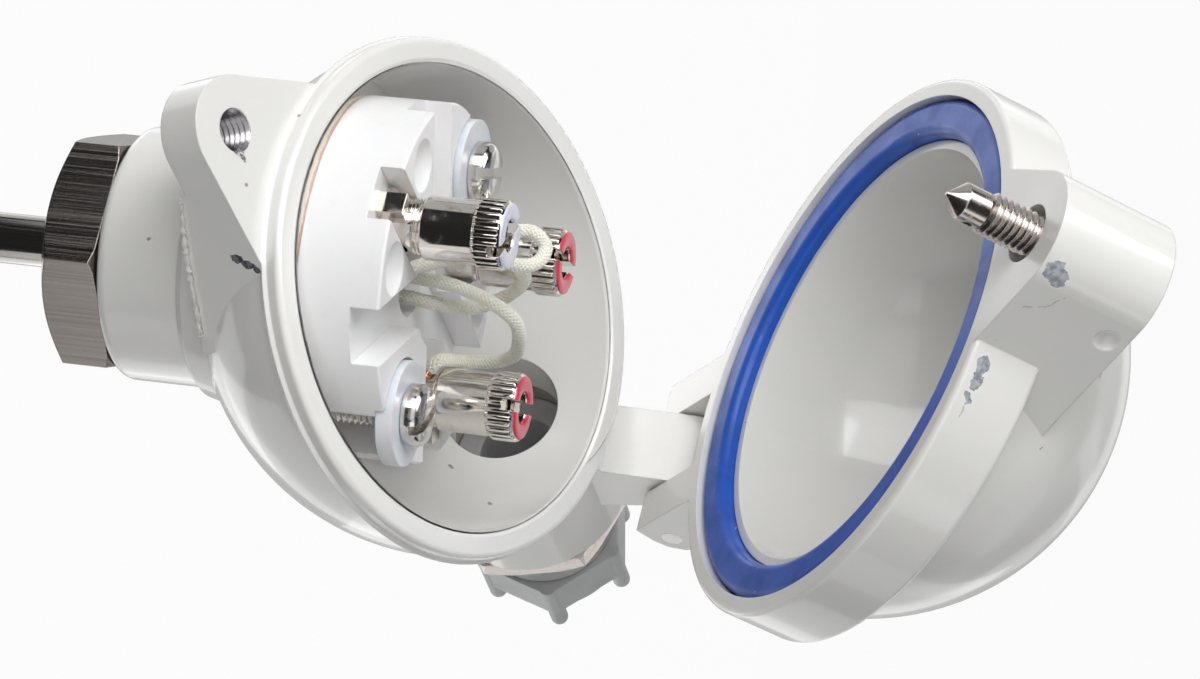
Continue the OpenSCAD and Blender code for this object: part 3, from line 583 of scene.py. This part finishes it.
MATERIALS = {
    "casting_paint": enamel("enamel_head", HEAD_CHIPS, HEAD_CRACKS, HEAD_MARKS, (0.045, 0.045, 0.055),
                            (0.2, 0.2, 0.23)),
    "lid_paint": enamel("enamel_lid", LID_CHIPS, LID_CRACKS, LID_MARKS, (0.3, 0.32, 0.36), (0.55, 0.58, 0.63)),
    "hexagon_steel": brushed_steel("hexagon_steel", (0.46, 0.42, 0.39), (0.24, 0.22, 0.205), (1, 1, 0.002),
                                   0.2, 9000.0),
    "stem_steel": brushed_steel("stem_steel", (0.62, 0.59, 0.57), (0.55, 0.53, 0.51), (1, 1, 0.004), 0.12, 12000.0),
    "element_ceramic": plain_mineral("element_ceramic", (0.85, 0.84, 0.8), (0.75, 0.73, 0.68), 0.6),
    "core_ceramic": plain_mineral("core_ceramic", (0.6, 0.57, 0.52), (0.48, 0.45, 0.4), 0.9),
    "gasket_fibre": pressed_fibre(),
    "block_ceramic": glazed_block(),
    "terminal_nickel": bright_nickel("terminal_nickel"),
    "screw_steel": bright_nickel("screw_steel", (0.72, 0.7, 0.67), 0.14),
    "washer_nylon": milky_nylon(),
    "lead_braid": glass_yarn("lead_braid", (0.92, 0.885, 0.79), (0.82, 0.785, 0.69)),
    "lead_core": glass_yarn("lead_core", (0.55, 0.54, 0.46), (0.45, 0.44, 0.37)),
    "seal_rubber": silicone_rubber(),
    "lid_screw_steel": bright_nickel("lid_screw_steel", (0.64, 0.59, 0.55), 0.2),
    "ear_steel": bright_nickel("ear_steel", (0.42, 0.41, 0.43), 0.24),
    "reducer_nickel": bright_nickel("reducer_nickel", (0.72, 0.66, 0.62), 0.16),
    "gland_plastic": moulded_plastic(),
    "gland_rubber": plain_mineral("gland_rubber", (0.03, 0.03, 0.03), (0.015, 0.015, 0.015), 0.6),
    "red_paint": enamel_dot("red_paint", (0.75, 0.02, 0.06), (0.55, 0.01, 0.04)),
    "white_paint": enamel_dot("white_paint", (0.78, 0.78, 0.88), (0.66, 0.66, 0.8)),
    "bare_copper": bright_nickel("bare_copper", (0.8, 0.45, 0.26), 0.3),
    "flash_paint": plain_mineral("flash_paint", (0.8, 0.8, 0.78), (0.66, 0.65, 0.62), 0.5),
    # Dark nickel laid into the knurl grooves as painted shade, not as a stain of the metal.
    "groove_dirt": bright_nickel("groove_dirt", (0.16, 0.13, 0.11), 0.35),
}


# Mesh helpers. A piece is modelled in millimetres in its own frame, then placed.

RIM = Matrix.Translation((RIM_X, 0, RIM_HEIGHT)) @ Matrix.Rotation(math.radians(-RIM_TILT), 4, "Y")
LID = (RIM @ Matrix.Translation((HINGE_REACH, 0, HINGE_RISE)) @ Matrix.Rotation(math.radians(LID_OPEN), 4, "Y")
       @ Matrix.Translation((-HINGE_REACH, 0, -HINGE_RISE)))


def at_terminal(i, height):
    return (Matrix.Rotation(math.radians(TERMINAL_ANGLES[i]), 4, "Z")
            @ Matrix.Translation((TERMINAL_CIRCLE, 0, height)))


def add_object(name, mesh):
    obj = bpy.data.objects.new(name, mesh)
    scene.collection.objects.link(obj)
    return obj


def turned(name, profile, steps=96, ring=False):
    """Solid turned about Z from (radius, height) pairs, from axis to axis, or a closed ring."""
    bm = bmesh.new()
    rows = []
    for radius, height in profile:
        if radius < 1e-6:
            rows.append([bm.verts.new((0, 0, height))])
        else:
            rows.append([bm.verts.new((radius * math.cos(2 * math.pi * k / steps),
                                       radius * math.sin(2 * math.pi * k / steps), height)) for k in range(steps)])
    pairs = list(zip(rows, rows[1:]))
    if ring:
        pairs.append((rows[-1], rows[0]))
    for low, high in pairs:
        for k in range(steps):
            n = (k + 1) % steps
            if len(low) == 1:
                bm.faces.new((low[0], high[n], high[k]))
            elif len(high) == 1:
                bm.faces.new((low[k], low[n], high[0]))
            else:
                bm.faces.new((low[k], low[n], high[n], high[k]))
    bmesh.ops.recalc_face_normals(bm, faces=bm.faces)
    mesh = bpy.data.meshes.new(name)
    bm.to_mesh(mesh)
    bm.free()
    return add_object(name, mesh)


def take_result(obj):
    """Turns an object with modifiers into a plain mesh."""
    graph = bpy.context.evaluated_depsgraph_get()
    mesh = bpy.data.meshes.new_from_object(obj.evaluated_get(graph), preserve_all_data_layers=True, depsgraph=graph)
    obj.modifiers.clear()
    obj.data = mesh
    return obj


def cut(obj, *cutters):
    """Takes cutters out of an object."""
    for cutter in cutters:
        modifier = obj.modifiers.new("cut", "BOOLEAN")
        modifier.operation = "DIFFERENCE"
        modifier.solver = "EXACT"
        modifier.object = cutter
        take_result(obj)
        bpy.data.objects.remove(cutter)
    return obj


def grow(name, tree, base=None, **values):
    """Runs a Geometry Nodes tree on a mesh and keeps the result as a plain mesh."""
    obj = base or add_object(name, bpy.data.meshes.new(name))
    modifier = obj.modifiers.new(tree.name, "NODES")
    modifier.node_group = tree
    for item in tree.interface.items_tree:
        if item.item_type == "SOCKET" and item.in_out == "INPUT" and item.name.replace(" ", "_") in values:
            modifier[item.identifier] = values[item.name.replace(" ", "_")]
    return take_result(obj)


def join_pieces(name, *objects):
    """Joins meshes into one object and keeps their materials."""
    bm = bmesh.new()
    materials = []
    for obj in objects:
        first = len(bm.faces)
        bm.from_mesh(obj.data)
        bm.faces.ensure_lookup_table()
        local = list(obj.data.materials)
        for m in local:
            if m not in materials:
                materials.append(m)
        for face in bm.faces[first:]:
            face.material_index = materials.index(local[min(face.material_index, len(local) - 1)])
    mesh = bpy.data.meshes.new(name)
    bm.to_mesh(mesh)
    bm.free()
    for m in materials:
        mesh.materials.append(m)
    for obj in objects:
        bpy.data.objects.remove(obj)
    return add_object(name, mesh)


def cover(obj, key):
    """Gives a whole mesh one material."""
    obj.data.materials.clear()
    obj.data.materials.append(MATERIALS[key])
    for polygon in obj.data.polygons:
        polygon.material_index = 0


def finish_piece(obj, name, body, place=Matrix.Identity(4), stands_for=(), angle=60):
    """Places a finished piece in the head's frame, in metres, and hangs it on its body."""
    obj.name = name
    obj.data.transform(Matrix.Scale(MM, 4) @ place)
    obj.data.name = name
    obj.data.shade_smooth()
    obj.data.set_sharp_from_angle(angle=math.radians(angle))
    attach(obj, body)
    if stands_for:
        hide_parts(*stands_for)
    return obj


# Geometry Nodes trees.

class Tree(Effect):
    """Builds a Geometry Nodes tree with named inputs that ends in Realize Instances and Set Material."""

    def __init__(self, name, **inputs):
        self.tree = bpy.data.node_groups.new(name, "GeometryNodeTree")
        self.tree.interface.new_socket("Geometry", in_out="INPUT", socket_type="NodeSocketGeometry")
        self.open_inputs(inputs)
        self.tree.interface.new_socket("Finish", in_out="INPUT", socket_type="NodeSocketMaterial")
        self.tree.interface.new_socket("Geometry", in_out="OUTPUT", socket_type="NodeSocketGeometry")
        self.start = self.tree.nodes.new("NodeGroupInput").outputs
        self.end = self.tree.nodes.new("NodeGroupOutput").inputs

    def sweep(self, path, sides, radius):
        """Closed rod of a few sides along a curve."""
        section = self.add("GeometryNodeCurvePrimitiveCircle", Resolution=sides, Radius=radius)
        return self.add("GeometryNodeCurveToMesh", Fill_Caps=True, Curve=path,
                        Profile_Curve=section.outputs["Curve"]).outputs["Mesh"]

    def move(self, geometry, offset):
        return self.add("GeometryNodeSetPosition", Geometry=geometry, Offset=offset).outputs["Geometry"]

    def close(self, geometry):
        realize = self.add("GeometryNodeRealizeInstances", Geometry=geometry)
        finish = self.add("GeometryNodeSetMaterial", Geometry=realize.outputs["Geometry"],
                          Material=self.start["Finish"])
        self.put(finish.outputs["Geometry"], self.end["Geometry"])
        return self.tree


def thread_tree():
    """A ridge of diamond section wound along Z."""
    t = Tree("thread_turns", Radius=2.0, Pitch=0.7, Turns=5.0, Ridge=0.35, Start_Height=0.0)
    spiral = t.add("GeometryNodeCurveSpiral", Resolution=48, Rotations=t.start["Turns"],
                   Start_Radius=t.start["Radius"], End_Radius=t.start["Radius"],
                   Height=t.product(t.start["Pitch"], t.start["Turns"]))
    level = t.add("GeometryNodeSetCurveNormal", mode="Z_UP", Curve=spiral.outputs["Curve"])
    ridge = t.sweep(level.outputs["Curve"], 4, t.start["Ridge"])
    return t.close(t.move(ridge, t.add("ShaderNodeCombineXYZ", Z=t.start["Start Height"]).outputs[0]))


def knurl_tree():
    """Presses straight knurls into a turned collar."""
    t = Tree("straight_knurl", Teeth=30, Depth=0.3, Low=0.0, High=1.0, Core=3.0)
    where = t.add("ShaderNodeSeparateXYZ", Vector=t.add("GeometryNodeInputPosition").outputs[0]).outputs
    around = t.math("ARCTAN2", where["Y"], where["X"])
    flat = t.add("ShaderNodeCombineXYZ", X=where["X"], Y=where["Y"]).outputs[0]
    wave = t.math("COSINE", t.product(around, t.start["Teeth"]))
    groove = t.math("POWER", t.math("MAXIMUM", t.math("ADD", 0.5, t.product(wave, 0.5)), 0.0), 2.5)
    inside = t.product(t.math("GREATER_THAN", where["Z"], t.start["Low"]),
                       t.math("LESS_THAN", where["Z"], t.start["High"]),
                       t.math("GREATER_THAN", t.vector("LENGTH", flat), t.start["Core"]))
    push = t.product(groove, inside, t.product(t.start["Depth"], -1.0))
    return t.close(t.move(t.start["Geometry"], t.scaled(t.vector("NORMALIZE", flat), push)))


def braid_tree():
    """Yarns wound both ways round a path, over and under each other."""
    t = Tree("braided_yarn", Yarns=10, Radius=0.85, Lay=5.4, Yarn_Radius=0.2, Lift=0.07, Step=0.13)
    path = t.add("GeometryNodeMeshToCurve", Mesh=t.start["Geometry"])
    even = t.add("GeometryNodeResampleCurve", mode="LENGTH", Curve=path.outputs["Curve"], Length=t.start["Step"])
    copies = t.add("GeometryNodeDuplicateElements", domain="SPLINE", Geometry=even.outputs["Curve"],
                   Amount=t.product(t.start["Yarns"], 2.0))
    index = copies.outputs["Duplicate Index"]
    way = t.math("SUBTRACT", t.product(t.math("MODULO", index, 2.0), 2.0), 1.0)
    yarn = t.math("FLOOR", t.math("DIVIDE", index, 2.0))
    first_angle = t.math("DIVIDE", t.product(yarn, 2 * math.pi), t.start["Yarns"])
    run = t.add("GeometryNodeSplineParameter").outputs["Length"]
    winding = t.math("DIVIDE", t.product(run, 2 * math.pi), t.start["Lay"])
    angle = t.math("ADD", first_angle, t.product(winding, way))
    weave = t.product(t.math("COSINE", t.product(winding, t.start["Yarns"])), way)
    radius = t.math("ADD", t.start["Radius"], t.product(weave, t.start["Lift"]))
    normal = t.add("GeometryNodeInputNormal").outputs["Normal"]
    across = t.vector("CROSS_PRODUCT", t.add("GeometryNodeInputTangent").outputs["Tangent"], normal)
    offset = t.vector("ADD", t.scaled(normal, t.product(radius, t.math("COSINE", angle))),
                      t.scaled(across, t.product(radius, t.math("SINE", angle))))
    return t.close(t.sweep(t.move(copies.outputs["Geometry"], offset), 5, t.start["Yarn Radius"]))


THREAD = thread_tree()
KNURL = knurl_tree()
BRAID = braid_tree()


# Pieces.

def thread(name, radius, pitch, start, end, finish, inward=False):
    """Thread turns whose crests reach the given radius."""
    ridge = 0.5 * pitch
    middle = radius + ridge if inward else radius - ridge
    return grow(name, THREAD, Radius=middle, Pitch=pitch, Turns=(end - start) / pitch, Ridge=ridge,
                Start_Height=start, Finish=MATERIALS[finish])


def slot_cutter(top, depth, width, angle):
    """Box that cuts a driver's slot into a top face, turned about Z."""
    reach = 5
    low, high = Vector((-reach, -width / 2, top - depth)), Vector((reach, width / 2, top + 1))
    bm = bmesh.new()
    bmesh.ops.create_cube(bm, size=1)
    bm.transform(Matrix.Rotation(math.radians(angle), 4, "Z") @ Matrix.Translation((low + high) / 2)
                 @ Matrix.Diagonal((*(high - low), 1)))
    mesh = bpy.data.meshes.new("cutter")
    bm.to_mesh(mesh)
    bm.free()
    return add_object("cutter", mesh)


def make_sleeve(i, face):
    """Clamping sleeve: turned skirt, knurled collar, bore and slot, with paint on its face."""
    skirt, collar, bore = 3.7, 4.05, 1.85
    shoulder, paint_foot, top = 7.7, 9.5, 9.9
    teeth, knurl_low, knurl_high, knurl_depth = 28, 6.45, 9.35, 0.42
    slot_depth, slot_width = 1.7, 1.3
    body = turned("sleeve", [(3.15, 0), (3.45, 0), (3.62, 0.06), (skirt, 0.22), (skirt, 6.1), (3.72, 6.25),
                             (4.02, 6.62), (collar, 6.75), (collar, 9.2), (3.95, 9.4), (3.72, 9.62),
                             (bore + 0.1, 9.62), (bore, paint_foot), (bore, shoulder), (3.15, shoulder)],
                  14 * teeth, ring=True)
    grow("sleeve", KNURL, body, Teeth=teeth, Depth=knurl_depth, Low=knurl_low, High=knurl_high, Core=skirt + 0.1,
         Finish=MATERIALS["terminal_nickel"])
    # Faces deep in the knurl grooves get the dark nickel: painted shade where the grooves lie in shadow.
    body.data.materials.append(MATERIALS["groove_dirt"])
    for polygon in body.data.polygons:
        middle = polygon.center
        if (knurl_low + 0.2 < middle.z < knurl_high
                and skirt - 0.1 < math.hypot(middle.x, middle.y) < collar - 0.24):
            polygon.material_index = len(body.data.materials) - 1
    angle = SLEEVE_SLOT_ANGLES[i] - TERMINAL_ANGLES[i]
    cut(body, slot_cutter(top, slot_depth, slot_width, angle))
    paint = turned("paint", [(bore + 0.1, paint_foot), (3.6, paint_foot), (3.72, 9.66), (3.66, 9.82), (3.45, top),
                             (bore + 0.35, top), (bore + 0.15, 9.82), (bore + 0.07, 9.66)], 96, ring=True)
    cut(paint, slot_cutter(top, slot_depth, slot_width + 0.06, angle))
    cover(paint, face)
    finish_piece(join_pieces("clamping_sleeve", body, paint), f"clamping_sleeve_{i + 1}", f"sleeve_{i + 1}",
                 at_terminal(i, SLEEVE_BOTTOMS[i]),
                 (f"terminal_sleeve_{i + 1}",), 25)


def make_post_thread(i):
    turns = thread("post", POST_RADIUS + 0.22, POST_PITCH, BLOCK_TOP + 0.6, SLEEVE_BOTTOMS[i] + 0.3,
                   "terminal_nickel")
    finish_piece(turns, f"post_thread_{i + 1}", "head", at_terminal(i, 0))


def make_mount_screw(i):
    """M4 screw with a domed slotted head and visible thread."""
    top, foot, core = 2.6, -19.2, MOUNT_SCREW_RADIUS - 0.38
    head = turned("head", [(0, -0.3), (3.4, 0), (3.6, 0.15), (3.6, 1.35), (3.5, 1.75), (3.2, 2.15), (2.6, 2.45),
                           (1.6, 2.58), (0, top)], 96)
    cut(head, slot_cutter(top, 1.5, 1.25, SCREW_SLOT_ANGLES[i]))
    cover(head, "screw_steel")
    shank = turned("shank", [(0, foot), (1.2, foot), (core, foot + 0.5), (core, -0.1), (0, -0.1)], 48)
    cover(shank, "screw_steel")
    turns = thread("turns", MOUNT_SCREW_RADIUS, MOUNT_SCREW_PITCH, foot + 0.4, -0.4, "screw_steel")
    finish_piece(join_pieces("mount_screw", head, shank, turns), f"mount_screw_m4_{i + 1}", f"mount_screw_{i + 1}",
                 Matrix.Translation((0, SCREW_YS[i], WASHER_TOP)), (f"mount_screw_{i + 1}",), 30)


def make_lid_screw():
    """Captive lid screw: slotted head, thread, dog with a cross hole, and a cone point."""
    top, dog, core = 11.6, 2.1, 1.85
    body = turned("body", [(0, -12), (0.22, -11.95), (0.4, -11.7), (1.95, -10.3), (dog, -10.05), (dog, -7.35),
                           (2.0, -7.2), (core, -7.0), (core, 3.0), (LID_SCREW_RADIUS, 3.2),
                           (LID_SCREW_RADIUS, 8.4), (4.3, 8.4), (4.3, 11.0), (3.7, top), (0, top)], 64)
    hole = turned("hole", [(0, -6), (0.55, -6), (0.55, 6), (0, 6)], 24)
    hole.data.transform(Matrix.Translation((0, 0, -8.5)) @ Matrix.Rotation(math.radians(15), 4, "Z")
                        @ Matrix.Rotation(math.radians(90), 4, "X"))
    cut(body, hole, slot_cutter(top, 1.6, 1.3, 40))
    cover(body, "lid_screw_steel")
    turns = thread("turns", LID_SCREW_RADIUS, LID_SCREW_PITCH, -7.0, 2.6, "lid_screw_steel")
    finish_piece(join_pieces("lid_screw", body, turns), "captive_lid_screw", "lid_screw",
                 LID @ Matrix.Translation((-SCREW_REACH, 0, 0)), ("lid_screw",), 30)


def make_ear_thread():
    turns = thread("turns", LID_SCREW_RADIUS - 0.42, LID_SCREW_PITCH, -LIP_HEIGHT - 5.2, -LIP_HEIGHT - 0.3,
                   "ear_steel", inward=True)
    finish_piece(turns, "ear_thread", "head", RIM @ Matrix.Translation((-SCREW_REACH, 0, 0)))


def smooth_path(points, steps=10):
    """Points of a smooth curve through a route."""
    result = []
    count = len(points)
    for i in range(count - 1):
        p0, p1, p2, p3 = (Vector(points[min(max(j, 0), count - 1)]) for j in (i - 1, i, i + 1, i + 2))
        for k in range(steps):
            s = k / steps
            result.append(0.5 * ((2 * p1) + (p2 - p0) * s + (2 * p0 - 5 * p1 + 4 * p2 - p3) * s * s
                                 + (3 * p1 - p0 - 3 * p2 + p3) * s * s * s))
    result.append(Vector(points[-1]))
    return result


def line_object(name, points):
    mesh = bpy.data.meshes.new(name)
    mesh.from_pydata([tuple(p) for p in points], [(i, i + 1) for i in range(len(points) - 1)], [])
    return add_object(name, mesh)


def tube(name, points, radius, sides, material, ragged=0.0):
    """Round tube along a path, closed at both ends."""
    spin = random.Random(7)
    bm = bmesh.new()
    rows, normal = [], Vector((0.3, 0.4, 0.86))
    for i, centre in enumerate(points):
        along = (points[min(i + 1, len(points) - 1)] - points[max(i - 1, 0)]).normalized()
        normal = (normal - along * normal.dot(along)).normalized()
        across = along.cross(normal)
        reach = radius * (1 + ragged * (spin.random() - 0.5))
        rows.append([bm.verts.new(centre + reach * (math.cos(2 * math.pi * k / sides) * normal
                                                    + math.sin(2 * math.pi * k / sides) * across))
                     for k in range(sides)])
    for low, high in zip(rows, rows[1:]):
        for k in range(sides):
            bm.faces.new((low[k], low[(k + 1) % sides], high[(k + 1) % sides], high[k]))
    bm.faces.new(rows[0])
    bm.faces.new(rows[-1])
    bmesh.ops.recalc_face_normals(bm, faces=bm.faces)
    mesh = bpy.data.meshes.new(name)
    bm.to_mesh(mesh)
    bm.free()
    mesh.materials.append(MATERIALS[material])
    return add_object(name, mesh)


def jolt(spin, reach):
    """Random step of up to a reach along each axis."""
    return Vector([spin.uniform(-reach, reach) for _ in range(3)])


def make_lead(i):
    """Glass-braided lead from the stem to its terminal; the second one shows its bare strands."""
    path = smooth_path(LEAD_ROUTES[i])
    shown = [p for p in path if p.z >= BRAID_FOOT]
    braid = grow("braid", BRAID, line_object("path", shown), Yarns=8, Radius=0.65, Lay=4.2, Yarn_Radius=0.175,
                 Lift=0.05, Step=0.12, Finish=MATERIALS["lead_braid"])
    pieces = [braid, tube("core", path[::2] + path[-1:], 0.69, 10, "lead_core")]
    if i == 1:
        spin = random.Random(3)
        for _ in range(9):
            route = [Vector(q) + jolt(spin, 0.45) for q in ((5.8, -7.6, 44.2), (6.0, -8.2, 43.7), (5.9, -8.8, 43.2))]
            pieces.append(tube("strand", smooth_path(route, 4), 0.12, 6, "bare_copper"))
    finish_piece(join_pieces("lead", *pieces), f"braided_lead_{i + 1}", "head",
                 stands_for=(f"lead_wire_{i + 1}",), angle=80)


def make_flash():
    """Ragged flash on the lower edge of the ear's web."""
    spin = random.Random(5)
    edge = smooth_path([(-27, -7.6, 21.75), (-24, -9.1, 21.6), (-20.6, -10.7, 21.5), (-17.2, -12.3, 21.6),
                        (-13.4, -14.2, 21.7), (-10.4, -15.6, 21.8)])
    flash = tube("flash", edge, 0.3, 6, "flash_paint", 0.9)
    for vertex in flash.data.vertices:
        vertex.co += jolt(spin, 0.12)
    finish_piece(flash, "casting_flash", "head")
    make_burr(spin)


def make_burr(spin):
    """Burr that the tap threw up below the hole in the ear."""
    hole_foot, ear_slope = Vector((-28.7, -2.2, 27.92)), Vector((0.89, 0, 0.45))
    crumbs = []
    for _ in range(9):
        start = hole_foot + ear_slope * spin.uniform(-0.8, 0.8)
        start.y += spin.uniform(-0.35, 0.25)
        end = start + jolt(spin, 0.35)
        crumbs.append(tube("crumb", [start, (start + end) / 2, end], 0.13, 5, "ear_steel", 0.8))
    finish_piece(join_pieces("burr", *crumbs), "tapping_burr", "head")


def make_lint():
    """Stray fibre on the open lid."""
    route = smooth_path([(21.0, -16.2, 79.8), (21.6, -16.9, 79.3), (22.2, -17.2, 78.6), (22.4, -17.9, 78.2)])
    finish_piece(tube("fibre", route, 0.06, 5, "lead_core"), "stray_fibre", "lid")


def dress_castings():
    """Finishes of the solids that are shown as they are."""
    for subpart in frame["record"]["subparts"]:
        name, slot = subpart["node"], subpart["material_slot"]
        if not cad[name].hide_render:
            cover(cad[name], "lid_paint" if name == "lid" else slot)


make_camera()
make_studio()
make_floor()
for number, face in enumerate(("white_paint", "red_paint", "red_paint")):
    make_sleeve(number, face)
    make_post_thread(number)
    make_lead(number)
for number in range(2):
    make_mount_screw(number)
make_lid_screw()
make_ear_thread()
make_flash()
make_lint()
dress_castings()
